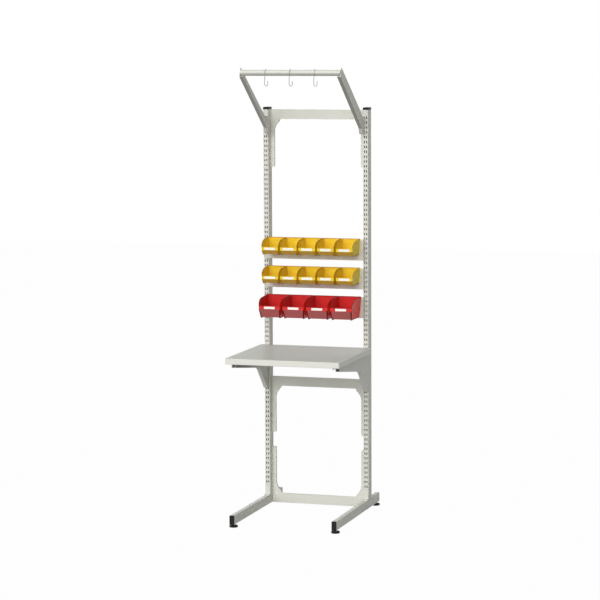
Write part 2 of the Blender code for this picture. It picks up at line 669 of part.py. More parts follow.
def bar_centre():
    """Where the bar's axis passes, in depth and height."""
    return (LUG_FACE - BAR_REACH, slot_height(ARM_SLOTS[1]) - ARM_FOOT_DROP + BAR_HEIGHT)


def make_hook(name, place, steel):
    """A wire hook: an upper bend round the bar, a shank, and a lower bend turned square to it.

    The lower bend hangs a little behind the bar's axis, so that the hook balances as it is drawn.
    """
    over = BAR_DIAMETER / 2 + HOOK_WIRE / 2 + SEAT_GAP
    loop = HOOK_LOWER_RADIUS
    path = [(0, v, w) for v, w in arc(0, 0, over, over, -180 * HOOK_CLOSE_SHARE, 180, 2 * ARC_STEPS)]
    low = HOOK_LOWER_RADIUS - HOOK_DEPTH
    start, end = (0, -over, -HOOK_NECK), (-loop, HOOK_BALANCE, low + HOOK_TIP)
    path.append(start)
    for step in range(1, ARC_STEPS):
        share = step / ARC_STEPS
        ease = share * share * (3 - 2 * share)
        path.append(tuple(start[k] + (end[k] - start[k]) * (share if k == 2 else ease) for k in (0, 1, 2)))
    path.append(end)
    path += [(u, HOOK_BALANCE, w) for u, w in arc(0, low, loop, loop, 180, 360, ARC_STEPS)]
    path.append((loop, HOOK_BALANCE, low + HOOK_TIP))
    hook = sweep(name, path, HOOK_WIRE / 2)
    hook.location = (place, *bar_centre())
    return finish(hook, steel, WIRE_SMOOTH_ANGLE)


def tapered(name, outline, size, inset):
    """A side outline given its width, which grows with height, less an inset on each side."""
    base, grow = size["base_width"], (size["width"] - size["base_width"]) / size["height"]
    loops = [[(side * ((base + grow * height) / 2 - inset), along, height) for along, height in outline]
             for side in (-1, 1)]
    return loft(name, loops)


def bin_mesh(size):
    """An open-fronted bin: tapered shell, swept side walls, leaning card band, rear hook and runners.

    Its own origin is at the middle of the rail's top edge, on the rail's front face.
    """
    height, depth, base = size["height"], size["depth"], -size["base_depth"]
    lip = (-depth + size["lip_lean"], size["lip_height"])
    cheek = arc(-size["cheek"], lip[1], -size["cheek"] - lip[0], height - size["dip"] - lip[1], 180, 90)
    outline = [(0, 0), (base, 0), (-depth, size["band_height"])] + cheek + [(0, height)]
    shell = tapered("bin", outline, size, 0)
    wall = [(0, height), (0, 0), (base, 0), (-depth, size["band_height"]), lip]
    inside = shifted(wall, -BIN_WALL)
    sky, ahead = height + CUT_OVERRUN, -depth - CUT_OVERRUN
    room = [(inside[0][0], sky)] + inside[1:-1]
    room += [(inside[-1][0], lip[1]), (ahead, lip[1]), (ahead, sky)]
    cut(shell, tapered("room", room, size, BIN_WALL))
    wide = size["width"] * BIN_HOOK_WIDTH_SHARE / 2
    near = RAIL_SHEET + 2 * SEAT_GAP
    far = near + BIN_HOOK_SHEET
    under = height - BIN_HOOK_SHEET
    hook = [(-BIN_WALL / 2, under), (near, under), (near, under - BIN_HOOK_DROP),
            (far, under - BIN_HOOK_DROP), (far, height), (-BIN_WALL / 2, height)]
    add(shell, prism("hook", hook, "X", -wide, wide))
    lean = size["lip_lean"] / (size["lip_height"] - size["band_height"])
    for share in (0, 1):
        rise = share * (size["lip_height"] - size["band_height"] - BIN_CARD_LEDGE)
        level = size["band_height"] + rise
        face = -depth + rise * lean
        ledge = [(face + BIN_WALL / 2, level), (face - BIN_CARD_LEDGE, level),
                 (face - BIN_CARD_LEDGE, level + BIN_CARD_LEDGE),
                 (face + BIN_WALL / 2, level + BIN_CARD_LEDGE)]
        add(shell, prism("ledge", ledge, "X", -BIN_CARD_LENGTH / 2, BIN_CARD_LENGTH / 2))
    runner = [(-BIN_WALL, BIN_WALL / 2), (-BIN_WALL, -BIN_RIB_HEIGHT),
              (base + BIN_WALL, -BIN_RIB_HEIGHT), (base + BIN_WALL, BIN_WALL / 2)]
    for side in (-1, 1):
        outer = size["base_width"] / 2 - BIN_RIB_INSET
        add(shell, prism("runner", runner, "X", *span(side, outer - BIN_RIB_WIDTH, outer)))
    mesh = shell.data
    rail_top = height - BIN_HOOK_SHEET - SEAT_GAP
    for vertex in mesh.vertices:
        vertex.co.y -= SEAT_GAP
        vertex.co.z -= rail_top
    bpy.data.objects.remove(shell)
    return mesh


def make_bins(prefix, size, mesh, rail, plastic):
    """A row of bins side by side on one rail."""
    level = slot_height(rail) - RAIL_SLOT_DROP + RAIL_HEIGHT
    for place in range(size["count"]):
        made = bpy.data.objects.new(f"{prefix}_{place + 1}", mesh)
        bpy.context.scene.collection.objects.link(made)
        across = (place - (size["count"] - 1) / 2) * size["pitch"]
        made.location = (across, POST_FRONT - RAIL_PROJECTION, level)
        finish(made, plastic)


def build():
    """Clear the scene and make every piece of the bench."""
    for old in list(bpy.data.objects):
        bpy.data.objects.remove(old)
    steel = material("ivory_paint", (0.78, 0.77, 0.70), 0.45)
    laminate = material("grey_laminate", (0.42, 0.43, 0.41), 0.25)
    edge_plastic = material("cream_edging", (0.79, 0.78, 0.70), 0.4)
    black_plastic = material("black_plastic", (0.02, 0.02, 0.018), 0.5)
    zinc = material("zinc_steel", (0.60, 0.60, 0.58), 0.35, 1.0)
    yellow = material("yellow_plastic", (0.80, 0.50, 0.03), 0.4)
    red = material("red_plastic", (0.50, 0.03, 0.03), 0.4)
    for side_name, side in SIDES:
        make_leg(f"{side_name}_leg", side, steel)
        make_post(f"{side_name}_post", side, steel)
        make_post_cap(f"{side_name}_post_cap", side, black_plastic)
        make_bracket(f"{side_name}_deck_bracket", side, steel)
        make_arm(f"{side_name}_arm", side, steel)
        for end_name, end in (("front", -1), ("rear", 1)):
            make_leg_cap(f"{side_name}_leg_{end_name}_cap", side, end, black_plastic)
            place = (side * POST_CENTRE, end * (BASE_LENGTH / 2 - FOOT_INSET))
            make_pad(f"{end_name}_{side_name}_pad", *place, black_plastic)
            make_stem(f"{end_name}_{side_name}_stem", *place, zinc)
            make_lock_nut(f"{end_name}_{side_name}_lock_nut", *place, zinc)
    make_frame("top_frame", POST_TOP - TOP_FRAME_DROP, False, steel)
    make_frame("middle_frame", MIDDLE_FRAME_TOP, False, steel)
    make_frame("bottom_frame", BOTTOM_FRAME_BASE, True, steel)
    for name, slot in zip(("upper", "middle", "lower"), RAIL_SLOTS):
        make_rail(f"{name}_bin_rail", slot, steel)
    make_deck(laminate, edge_plastic)
    make_bar(steel)
    for place in range(HOOK_COUNT):
        make_hook(f"hook_{place + 1}", (place - (HOOK_COUNT - 1) / 2) * HOOK_SPACING, zinc)
    small, large = bin_mesh(YELLOW_BIN), bin_mesh(RED_BIN)
    make_bins("upper_yellow_bin", YELLOW_BIN, small, RAIL_SLOTS[0], yellow)
    make_bins("middle_yellow_bin", YELLOW_BIN, small, RAIL_SLOTS[1], yellow)
    make_bins("red_bin", RED_BIN, large, RAIL_SLOTS[2], red)


build()
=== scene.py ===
# %% [markdown]
# # A line workbench, from bare solids to a finished picture
#
# The bench is a pair of slotted posts on levelled legs. It carries a deck, three rails of hanging bins
# and a hanger bar. The solids already hold every size, so this notebook adds finishes, the small fittings
# that are too fine for the solids, a studio and the camera. Each new piece rides on the body that carries
# it, so that the bench still looks right when a bin is lifted or a hook swings.

# %% Load the fixed frame
import json
import math

import bmesh
import bpy
import numpy as np
from mathutils import Matrix, Vector


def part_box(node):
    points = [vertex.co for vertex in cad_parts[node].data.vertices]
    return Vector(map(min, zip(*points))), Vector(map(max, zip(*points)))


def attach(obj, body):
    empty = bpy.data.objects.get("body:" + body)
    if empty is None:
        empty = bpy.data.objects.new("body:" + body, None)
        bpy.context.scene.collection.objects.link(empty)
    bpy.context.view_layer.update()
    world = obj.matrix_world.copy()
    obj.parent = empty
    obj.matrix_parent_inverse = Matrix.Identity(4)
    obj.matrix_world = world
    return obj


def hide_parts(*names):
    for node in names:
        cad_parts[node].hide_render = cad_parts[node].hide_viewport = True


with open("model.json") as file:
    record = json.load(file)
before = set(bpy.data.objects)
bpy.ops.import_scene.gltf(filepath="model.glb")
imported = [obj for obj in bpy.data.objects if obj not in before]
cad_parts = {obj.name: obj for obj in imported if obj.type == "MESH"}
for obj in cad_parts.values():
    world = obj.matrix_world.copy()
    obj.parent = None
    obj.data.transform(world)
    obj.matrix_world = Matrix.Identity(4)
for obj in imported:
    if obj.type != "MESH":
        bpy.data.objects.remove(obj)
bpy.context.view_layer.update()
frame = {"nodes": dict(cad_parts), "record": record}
NODES = frame["nodes"]

# %% [markdown]
# ## What the fittings share with the bins
#
# A node's box tells where a piece is and how large, so every place below is read from a box. It doesn't
# tell where a bin's lip or its front band lies, and those few sizes are repeated here once. width and
# base are a bin's widths at the rim and at the floor, depth and base_depth its reach at the band and at
# the floor. The front band stands between the heights band and lip and leans back by lean. The side walls
# stay nearly level over the length cheek and fall by dip there. foot_radius is the radius of the ribs
# down the front corners.

# %% Shared sizes, in metres
SIDEWAYS, FORWARDS = np.array([1.0, 0, 0]), np.array([0, -1.0, 0])
MIRROR = (-1, 1, 1)
BINS = {
    "yellow": {
        "nodes": [f"{row}_yellow_bin_{k}" for row in ("upper", "middle") for k in range(1, 6)],
        "width": 0.098, "base": 0.084, "depth": 0.130, "height": 0.078, "base_depth": 0.118,
        "band": 0.020, "lip": 0.036, "lean": 0.002, "cheek": 0.055, "dip": 0.004,
        "card": (0.058, 0.0122), "foot_radius": 0.0019,
    },
    "red": {
        "nodes": [f"red_bin_{k}" for k in range(1, 5)],
        "width": 0.126, "base": 0.104, "depth": 0.166, "height": 0.104, "base_depth": 0.148,
        "band": 0.043, "lip": 0.059, "lean": 0.002, "cheek": 0.100, "dip": 0.007,
        "card": (0.058, 0.0122), "foot_radius": 0.0032,
    },
}
print("bins:", {kind: len(size["nodes"]) for kind, size in BINS.items()})

# %% [markdown]
# ## A small toolbox for surfaces
#
# Every new shape is a grid of points: rows along a path, columns round its section. Numpy works out the
# whole grid at once, and the mesh takes it in one go. One face closes each end, so nothing is left open.

# %% From a grid of points to a mesh
SMOOTH = math.radians(35)
MERGE_DISTANCE = 1e-6


def mesh_piece(name, points, faces, finish, smooth=SMOOTH):
    """A mesh object from an array of points and a list of faces, its faces turned outwards.

    An edge is sharp where the faces at its two sides differ by more than the smooth angle.
    """
    mesh = bpy.data.meshes.new(name)
    mesh.from_pydata(points.reshape(-1, 3).tolist(), [], faces)
    shell = bmesh.new()
    shell.from_mesh(mesh)
    bmesh.ops.remove_doubles(shell, verts=shell.verts, dist=MERGE_DISTANCE)
    bmesh.ops.recalc_face_normals(shell, faces=shell.faces)
    shell.to_mesh(mesh)
    shell.free()
    mesh.shade_smooth()
    mesh.set_sharp_from_angle(angle=smooth)
    mesh.materials.append(finish)
    piece = bpy.data.objects.new(name, mesh)
    bpy.context.scene.collection.objects.link(piece)
    return piece


def grid_faces(rows, columns, start):
    """Faces of a closed grid whose point at row r and column c has the index start + r * columns + c.

    Each quad joins a point, the next one round, and the same two in the next row. A face closes each end.
    """
    r, c = np.meshgrid(np.arange(rows - 1), np.arange(columns), indexing="ij")
    n = (c + 1) % columns
    corners = [r * columns + c, r * columns + n, (r + 1) * columns + n, (r + 1) * columns + c]
    quads = np.stack(corners, axis=-1).reshape(-1, 4) + start
    first_ring = np.arange(columns) + start
    last_ring = first_ring + (rows - 1) * columns
    return quads.tolist() + [first_ring[::-1].tolist(), last_ring.tolist()]


def joined_grids(name, grids, finish, smooth=SMOOTH):
    """One object from several closed bodies, each a (rows, columns, 3) grid whose columns close round."""
    faces, start = [], 0
    for grid in grids:
        rows, columns = grid.shape[:2]
        faces += grid_faces(rows, columns, start)
        start += rows * columns
    return mesh_piece(name, np.concatenate([grid.reshape(-1, 3) for grid in grids]), faces, finish, smooth)


print("toolbox: points closer than", MERGE_DISTANCE, "m are merged")


# %% A round section carried along a path
def swept(path, side, radius, columns):
    """The grid path + radius * (cos(a) * first + sin(a) * second), with one row at each point of the path.

    The first axis is the given side direction with its part along the path taken off, and the second is the
    cross product of the path's direction and the first. The radius is one number or one for each point.
    """
    ahead = np.gradient(path, axis=0)
    ahead /= np.linalg.norm(ahead, axis=1, keepdims=True)
    first = side - ahead * np.sum(side * ahead, axis=1, keepdims=True)
    first /= np.linalg.norm(first, axis=1, keepdims=True)
    second = np.cross(ahead, first)
    turn = np.linspace(0, 2 * np.pi, columns, endpoint=False)[None, :, None]
    ring = np.cos(turn) * first[:, None] + np.sin(turn) * second[:, None]
    return path[:, None] + np.reshape(radius, (-1, 1, 1)) * ring


print("sections are ready to be carried along paths")

# %% [markdown]
# ## Finishes
#
# A flat colour would look like paper, so each finish gets a little unevenness in colour, roughness and
# height, at the size that the real one shows. All patterns sit on Object coordinates, so they stay with
# the piece when it moves. A few helpers keep the node trees short: one sets or links a socket, one makes
# a noise, and the others carry its value into a range, a colour or a height.

# %% Values and patterns for node materials
WHITE = (1.0, 1.0, 1.0)
NOISE_RANGE = (0.3, 0.7)


def feed(tree, socket, value):
    """Link another node's output to a socket, or set the socket to a colour or a number."""
    if isinstance(value, bpy.types.NodeSocket):
        tree.links.new(value, socket)
    else:
        socket.default_value = (*value, 1) if isinstance(value, tuple) else value


def noise(tree, scale, detail, roughness=0.5, stretch=(1, 1, 1)):
    """A noise pattern on Object coordinates, scale in cycles to the metre, stretched along the axes."""
    coordinates = tree.nodes.new("ShaderNodeTexCoord")
    mapping = tree.nodes.new("ShaderNodeMapping")
    mapping.inputs["Scale"].default_value = stretch
    pattern = tree.nodes.new("ShaderNodeTexNoise")
    for name, value in (("Scale", scale), ("Detail", detail), ("Roughness", roughness)):
        pattern.inputs[name].default_value = value
    tree.links.new(coordinates.outputs["Object"], mapping.inputs["Vector"])
    tree.links.new(mapping.outputs["Vector"], pattern.inputs["Vector"])
    return pattern.outputs["Fac"]


def spread(tree, value, target, source=NOISE_RANGE):
    """A value carried in proportion from the source range into the target range, and kept inside it."""
    node = tree.nodes.new("ShaderNodeMapRange")
    for name, number in zip(("From Min", "From Max", "To Min", "To Max"), (*source, *target)):
        node.inputs[name].default_value = number
    tree.links.new(value, node.inputs["Value"])
    return node.outputs["Result"]


def worked(tree, operation, first, second=0.0):
    """The result of one operation on two values; ABSOLUTE uses the first alone."""
    node = tree.nodes.new("ShaderNodeMath")
    node.operation = operation
    feed(tree, node.inputs[0], first)
    feed(tree, node.inputs[1], second)
    return node.outputs[0]


print("a noise mostly lies between", *NOISE_RANGE)


# %% Colours and relief for node materials
def shade(colour, factor):
    """A colour made darker or lighter by a factor."""
    return tuple(min(1.0, part * factor) for part in colour)


def blend(tree, share, first, second, way="MIX"):
    """A colour mixed from two: a share of 0 gives the first, a share of 1 the second."""
    mix = tree.nodes.new("ShaderNodeMix")
    mix.data_type = "RGBA"
    mix.blend_type = way
    for name, value in (("Factor", share), ("A", first), ("B", second)):
        feed(tree, mix.inputs[name], value)
    return mix.outputs["Result"]


def mottled(tree, pattern, colour, shades, source=NOISE_RANGE):
    """A colour that drifts with a pattern between two shades of itself, given as factors."""
    dark, light = [shade(colour, factor) for factor in shades]
    return blend(tree, spread(tree, pattern, (0, 1), source), dark, light)


def relief(tree, shader, value, height):
    """Raise the surface by a value, height metres from its lowest to its highest."""
    bump = tree.nodes.new("ShaderNodeBump")
    bump.inputs["Strength"].default_value = 1.0
    bump.inputs["Distance"].default_value = height
    tree.links.new(value, bump.inputs["Height"])
    tree.links.new(bump.outputs["Normal"], shader.inputs["Normal"])


print("colours drift, and surfaces have height")


# %% A finish with all three kinds of unevenness
def new_finish(name, colour, roughness, **sockets):
    """A Principled material with plain values on the shader's own sockets, _ standing for a space."""
    made = bpy.data.materials.new(name)
    made.use_nodes = True
    shader = made.node_tree.nodes["Principled BSDF"]
    shader.inputs["Base Color"].default_value = (*colour, 1)
    shader.inputs["Roughness"].default_value = roughness
    for socket, value in sockets.items():
        shader.inputs[socket.replace("_", " ")].default_value = value
    return made, made.node_tree, shader


def uneven_finish(name, colour, roughness, drift, shades, grain, height, source=NOISE_RANGE,
                  cloudy=None, gloss=None, tint=mottled, **sockets):
    """A material whose colour drifts between two shades, with a cloudy gloss where asked, and a grain.

    drift, cloudy and grain are the settings of noise patterns. shades are two factors of the colour, gloss
    is a range of roughness and height is the grain's, in metres. tint turns the drift into a colour.
    """
    made, tree, shader = new_finish(name, colour, roughness, **sockets)
    tree.links.new(tint(tree, noise(tree, **drift), colour, shades, source), shader.inputs["Base Color"])
    if cloudy:
        tree.links.new(spread(tree, noise(tree, **cloudy), gloss), shader.inputs["Roughness"])
    relief(tree, shader, noise(tree, **grain), height)
    return made


print("finishes are ready to be mixed")

# %% [markdown]
# ## Powder coat
#
# The metalwork is powder coated: an ivory skin with a soft sheen and a very fine orange peel, which is
# the ripple that the melting powder leaves. The ripple is only some hundredths of a millimetre high, so
# it is a bump and not geometry. The colour clouds slowly, over some 15 centimetres, and the gloss faster.

# %% Ivory powder coat
IVORY = (0.775, 0.770, 0.702)
COAT = {
    "colour": IVORY, "roughness": 0.46, "Specular_IOR_Level": 0.22,
    "drift": {"scale": 7, "detail": 2}, "shades": (0.97, 1.02),
    "cloudy": {"scale": 45, "detail": 3}, "gloss": (0.36, 0.48),
    "grain": {"scale": 900, "detail": 1}, "height": 0.00003,
}
powder_coat = uneven_finish("ivory_powder_coat", **COAT)
print("finish:", powder_coat.name)

# %% [markdown]
# ## Deck board
#
# The deck is a board with a grey high-pressure laminate, which has fine flecks and faint wipe marks
# across its width. Its edges have a cream plastic band with streaks from the extruder. Both are close to
# flat, so their relief is a third of the paint's.

# %% Laminate and edge band
LAMINATE_GREY = (0.61, 0.63, 0.575)
CREAM = (0.83, 0.825, 0.755)
laminate = uneven_finish(
    "grey_deck_laminate", colour=LAMINATE_GREY, roughness=0.4, Specular_IOR_Level=0.15,
    drift={"scale": 260, "detail": 4, "roughness": 0.6}, shades=(0.94, 1.05),
    cloudy={"scale": 9, "detail": 4, "roughness": 0.55, "stretch": (1, 3, 1)}, gloss=(0.34, 0.48),
    grain={"scale": 420, "detail": 2}, height=0.00001)
edging = uneven_finish(
    "cream_edge_band", colour=CREAM, roughness=0.40, Specular_IOR_Level=0.3,
    drift={"scale": 30, "detail": 3, "stretch": (1, 1, 6)}, shades=(0.975, 1.01),
    grain={"scale": 700, "detail": 1}, height=0.00001)
print("finishes:", laminate.name, edging.name)

# %% [markdown]
# ## Painted shadow on the deck brackets
#
# Under the deck, the inner sides of the two brackets are much darker towards their front than soft lamps
# alone make them, so the deck's shadow is painted on them. A mask finds those faces without any painting
# by hand. Such a face looks to the middle of the bench, so its direction across the bench and its place
# there have opposite signs, and their product is negative. A ramp along the depth then fades the painted
# shadow out towards the posts.

# %% Masks from a face's direction and place
def parts_of(tree, kind):
    """The X, Y and Z of a point's direction, with Normal as the kind, or of its place, with Object."""
    coordinates = tree.nodes.new("ShaderNodeTexCoord")
    split = tree.nodes.new("ShaderNodeSeparateXYZ")
    tree.links.new(coordinates.outputs[kind], split.inputs[0])
    return split.outputs


def below(tree, value, limits):
    """1 where a value is below both limits, 0 where it is above both, and a straight ramp between."""
    return spread(tree, value, (1, 0), limits)


def above(tree, value, limits):
    """1 where a value is above both limits, 0 where it is below both, and a straight ramp between."""
    return spread(tree, value, (0, 1), limits)


print("masks read Normal and Object coordinates")

# %% Bracket paint with a painted shadow
BRACKETS = ("left_deck_bracket", "right_deck_bracket")
# The painted shadow: which faces look inwards, how far from the front, and its darker shades.
LOOKS_INWARDS = (-0.15, -0.09)
FRONT_STRETCH = (-0.13, 0.03)
SHADED_DRIFT = {"scale": 60, "detail": 3}
SHADED_SHADES = (0.24, 0.34)


def bracket_shadow_tint(tree, pattern, colour, shades, source):
    """The usual drift of the colour, and a painted shadow: a much darker one on inner sides near the front.
    """
    direction, place = parts_of(tree, "Normal"), parts_of(tree, "Object")
    inwards = below(tree, worked(tree, "MULTIPLY", direction["X"], place["X"]), LOOKS_INWARDS)
    inner = worked(tree, "MULTIPLY", inwards, below(tree, place["Y"], FRONT_STRETCH))
    dark, light = [shade(colour, factor) for factor in SHADED_SHADES]
    shaded = blend(tree, noise(tree, **SHADED_DRIFT), dark, light)
    return blend(tree, inner, mottled(tree, pattern, colour, shades, source), shaded)


bracket_shadow_coat = uneven_finish("ivory_bracket_coat", tint=bracket_shadow_tint, **COAT)
print("finish:", bracket_shadow_coat.name)

# %% [markdown]
# ## Painted light and shade on the arms and the hanger bar
#
# Light and shade are painted into the coat of the arms and of the bar, in bands by how far a face looks
# up: the arms' lower flange gets a painted shade, darker than their sides, and the round bar a painted
# highlight in front and a painted shade under it. The soft lamps alone show them too weakly. A colour ramp
# over how far a face looks up gives each band its own factor. The clouds of the paint are multiplied in,
# so that the bands stay as uneven as the rest.

# %% Painted light and shade by how far a face looks up
# Painted shade on the arms, painted highlight and shade on the bar, as factors of the colour.
ARM_PAINTED_SHADE = [(-0.55, 0.58), (-0.30, 1.0)]
BAR_PAINTED_LIGHT_AND_SHADE = [(-0.75, 0.78), (-0.35, 0.66), (0.15, 1.0), (0.35, 1.2), (0.6, 0.95)]
BAND_SHADES = (0.97, 1.0)


def painted_by_facing(bands):
    """A tint of painted light and shade: bands are pairs of how far a face looks up, from -1 to 1, and a
    factor there.
    """
    def tint(tree, pattern, colour, shades, source):
        ramp = tree.nodes.new("ShaderNodeValToRGB")
        marks = ramp.color_ramp.elements
        marks.remove(marks[1])
        for index, (height, factor) in enumerate(bands):
            position = (height + 1) / 2
            mark = marks.new(position) if index else marks[0]
            mark.position = position
            mark.color = (*shade(colour, factor), 1)
        upwards = parts_of(tree, "Normal")["Z"]
        tree.links.new(spread(tree, upwards, (0, 1), (-1, 1)), ramp.inputs["Fac"])
        clouds = mottled(tree, pattern, WHITE, shades, source)
        return blend(tree, 1.0, ramp.outputs["Color"], clouds, "MULTIPLY")
    return tint


arm_shade_coat = uneven_finish("ivory_arm_coat", tint=painted_by_facing(ARM_PAINTED_SHADE), **{**COAT, "shades": BAND_SHADES})
bar_light_and_shade_coat = uneven_finish("ivory_bar_coat", tint=painted_by_facing(BAR_PAINTED_LIGHT_AND_SHADE), **{**COAT, "shades": BAND_SHADES})
print("finishes:", arm_shade_coat.name, bar_light_and_shade_coat.name)

# %% [markdown]
# ## Black plastic, zinc and card
#
# The caps and feet are black polypropylene with a fine spark grain, which is the texture that the mould
# was eroded with. The small hardware is bright zinc, a metal with faint cloudy passivation. The cards are
# plain paper, whose fibres run level.

# %% Black plastic, zinc, card
BLACK = (0.012, 0.012, 0.011)
ZINC = (0.50, 0.51, 0.51)
CARD_WHITE = (0.98, 0.975, 0.92)
FIBRES = {"scale": 900, "detail": 3, "roughness": 0.6, "stretch": (1, 1, 4)}
black_plastic = uneven_finish(
    "black_grained_plastic", colour=BLACK, roughness=0.5, Specular_IOR_Level=0.2,
    drift={"scale": 1400, "detail": 2}, shades=(0.8, 1.5),
    cloudy={"scale": 60, "detail": 3}, gloss=(0.42, 0.6),
    grain={"scale": 1400, "detail": 2}, height=0.00006)
zinc = uneven_finish(
    "bright_zinc", colour=ZINC, roughness=0.3, Metallic=1.0,
    drift={"scale": 120, "detail": 3}, shades=(0.86, 1.06),
    cloudy={"scale": 300, "detail": 2}, gloss=(0.22, 0.4),
    grain={"scale": 1100, "detail": 1}, height=0.00001)
card_paper = uneven_finish(
    "label_card", colour=CARD_WHITE, roughness=0.7,
    drift=FIBRES, shades=(0.96, 1.02), grain=FIBRES, height=0.00002)
print("finishes:", black_plastic.name, zinc.name, card_paper.name)

# %% [markdown]
# ## Bin plastics
#
# The bins are moulded polypropylene. It is slightly see-through at the thin walls, and its colour is
# deep. A little subsurface light gives the glow that thin coloured walls have, and flow marks from the
# mould show as faint streaks. Three stretches of a bin get painted light and shade, and each is found by
# a mask. The slope under the card gets a painted shade, darker, and on the red bins greyer as a painted
# sheen, with a fine grain in its colour: it is the face that looks forwards and down. The outer walls get
# painted light, brighter than the plain wall as light through the thin wall would make them: they look
# sideways and a little down. The runner feet get a painted shade, dark: they lie at the lowest height of
# each row of bins.

# %% Where a bin differs from its plain wall
SLOPE_FORWARDS, SLOPE_DOWN = (-0.75, -0.55), (-0.33, -0.22)
WALL_SIDEWAYS, WALL_DOWN = (0.85, 0.95), (-0.06, -0.02)
FOOT_MIDDLE, FOOT_HALF, FOOT_FADE = 0.0015, 0.002, 0.0006
LEVEL_DIGITS = 4


# The painted shade and sheen on the slope under the card goes where this mask is 1.
def shaded_slope_mask(tree):
    """1 where the surface looks forwards and down, as the slope under the card does, and 0 elsewhere."""
    direction = parts_of(tree, "Normal")
    forwards = below(tree, direction["Y"], SLOPE_FORWARDS)
    return worked(tree, "MULTIPLY", forwards, below(tree, direction["Z"], SLOPE_DOWN))


# The painted light on the outer walls goes where this mask is 1.
def lit_wall_mask(tree):
    """1 where the surface looks sideways and a little down, as the outer walls do, and 0 elsewhere."""
    direction = parts_of(tree, "Normal")
    sideways = above(tree, worked(tree, "ABSOLUTE", direction["X"]), WALL_SIDEWAYS)
    return worked(tree, "MULTIPLY", sideways, below(tree, direction["Z"], WALL_DOWN))


# The painted shade on the runner feet goes where this mask is 1.
def shaded_feet_mask(tree, kind):
    """1 close to the height of the runner feet in any row of a kind's bins, and 0 elsewhere."""
    floors = {round(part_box(node)[0].z, LEVEL_DIGITS) for node in BINS[kind]["nodes"]}
    height = parts_of(tree, "Object")["Z"]
    total = 0.0
    for floor_height in sorted(floors):
        apart = worked(tree, "ABSOLUTE", worked(tree, "SUBTRACT", height, floor_height + FOOT_MIDDLE))
        total = worked(tree, "MAXIMUM", below(tree, apart, (FOOT_HALF, FOOT_HALF + FOOT_FADE)), total)
    return total


print("masks on a bin: slope, outer walls, runner feet")

# %% Yellow and red bin plastic
# Tones: wall is the plastic's own; slope, foot and edge are painted shade; side is painted light.
BIN_TONES = {
    "yellow": {"wall": (0.92, 0.645, 0.045), "slope": (0.53, 0.315, 0.05), "side": (1.0, 0.735, 0.02),
               "foot": (0.36, 0.19, 0.012), "edge": (0.60, 0.31, 0.012), "glow": (1.0, 0.6, 0.1)},
    "red": {"wall": (0.70, 0.036, 0.034), "slope": (0.426, 0.109, 0.108), "side": (1.0, 0.045, 0.025),
            "foot": (0.10, 0.006, 0.010), "edge": (0.40, 0.012, 0.010), "glow": (1.0, 0.08, 0.06)},
}
BIN_DRIFT = {
    "wall": {"scale": 28, "detail": 4, "roughness": 0.55, "stretch": (1, 1, 3)},
    "slope": {"scale": 900, "detail": 2},
    "side": {"scale": 300, "detail": 3},
    "foot": {"scale": 500, "detail": 3},
}
BIN_SHADES = {"wall": (0.93, 1.04), "slope": (0.9, 1.08), "side": (0.95, 1.0), "foot": (0.7, 1.3)}
BIN_CLOUDY = {"scale": 70, "detail": 3}
BIN_GLOSS = (0.35, 0.48)
BIN_GRAIN = {"scale": 500, "detail": 2}
BIN_GRAIN_HEIGHT = 0.00002
BIN_SOCKETS = {"Specular_IOR_Level": 0.2, "Subsurface_Weight": 0.2, "Subsurface_Scale": 0.003}
BIN_ROUGHNESS = 0.40


def bin_plastic(kind):
    """Moulded polypropylene: light soaks some millimetres into the wall, with flow marks and painted light
    and shade.
    """
    tones = BIN_TONES[kind]
    made, tree, shader = new_finish(f"{kind}_bin_plastic", tones["wall"], BIN_ROUGHNESS,
                                    Subsurface_Radius=tones["glow"], **BIN_SOCKETS)

    def drifting(stretch):
        return mottled(tree, noise(tree, **BIN_DRIFT[stretch]), tones[stretch], BIN_SHADES[stretch])

    colour = drifting("wall")
    masks = {"slope": shaded_slope_mask(tree), "side": lit_wall_mask(tree), "foot": shaded_feet_mask(tree, kind)}
    for stretch, mask in masks.items():
        colour = blend(tree, mask, colour, drifting(stretch))
    tree.links.new(colour, shader.inputs["Base Color"])
    tree.links.new(spread(tree, noise(tree, **BIN_CLOUDY), BIN_GLOSS), shader.inputs["Roughness"])
    relief(tree, shader, noise(tree, **BIN_GRAIN), BIN_GRAIN_HEIGHT)
    return made


BIN_FINISH = {kind: bin_plastic(kind) for kind in BINS}
print("finishes:", [finish.name for finish in BIN_FINISH.values()])

# %% [markdown]
# ## Plastic on edges, in painted shade
#
# The rolled edges of a bin and the ribs down its front corners are given a darker tone as a painted shade,
# for the shade along the rims and between the bins, and hands and neighbours rub it a little lighter here
# and there. The ribs take the dark tone of the feet, and the plugs of the deck brackets are the same kind
# of plastic in dark grey.

# %% Rolled edges and ribs
def edge_plastic(name, colour):
    """Plastic for an edge, a rib or a plug in a given colour, rubbed a little lighter here and there."""
    return uneven_finish(
        name, colour=colour, roughness=0.5, Specular_IOR_Level=0.1,
        drift={"scale": 120, "detail": 4, "roughness": 0.6}, shades=(0.85, 1.2), source=(0.35, 0.75),
        grain={"scale": 800, "detail": 2}, height=0.00002)


# Edges and ribs take darker tones of the bins as painted shade.
EDGE_SHADE_FINISH = {kind: edge_plastic(f"{kind}_edge_plastic", BIN_TONES[kind]["edge"]) for kind in BINS}
RIB_SHADE_FINISH = {kind: edge_plastic(f"{kind}_rib_plastic_painted_shade", BIN_TONES[kind]["foot"]) for kind in BINS}
print("finishes:", [finish.name for finish in (*EDGE_SHADE_FINISH.values(), *RIB_SHADE_FINISH.values())])

# %% [markdown]
# ## Dress the solids
#
# The record gives each solid a material slot, so one table from slot to finish dresses all of them. The
# brackets, the arms and the bar get their own paint instead of the plain powder coat: the brackets with a
# painted shadow, the arms and the bar with painted light and shade.

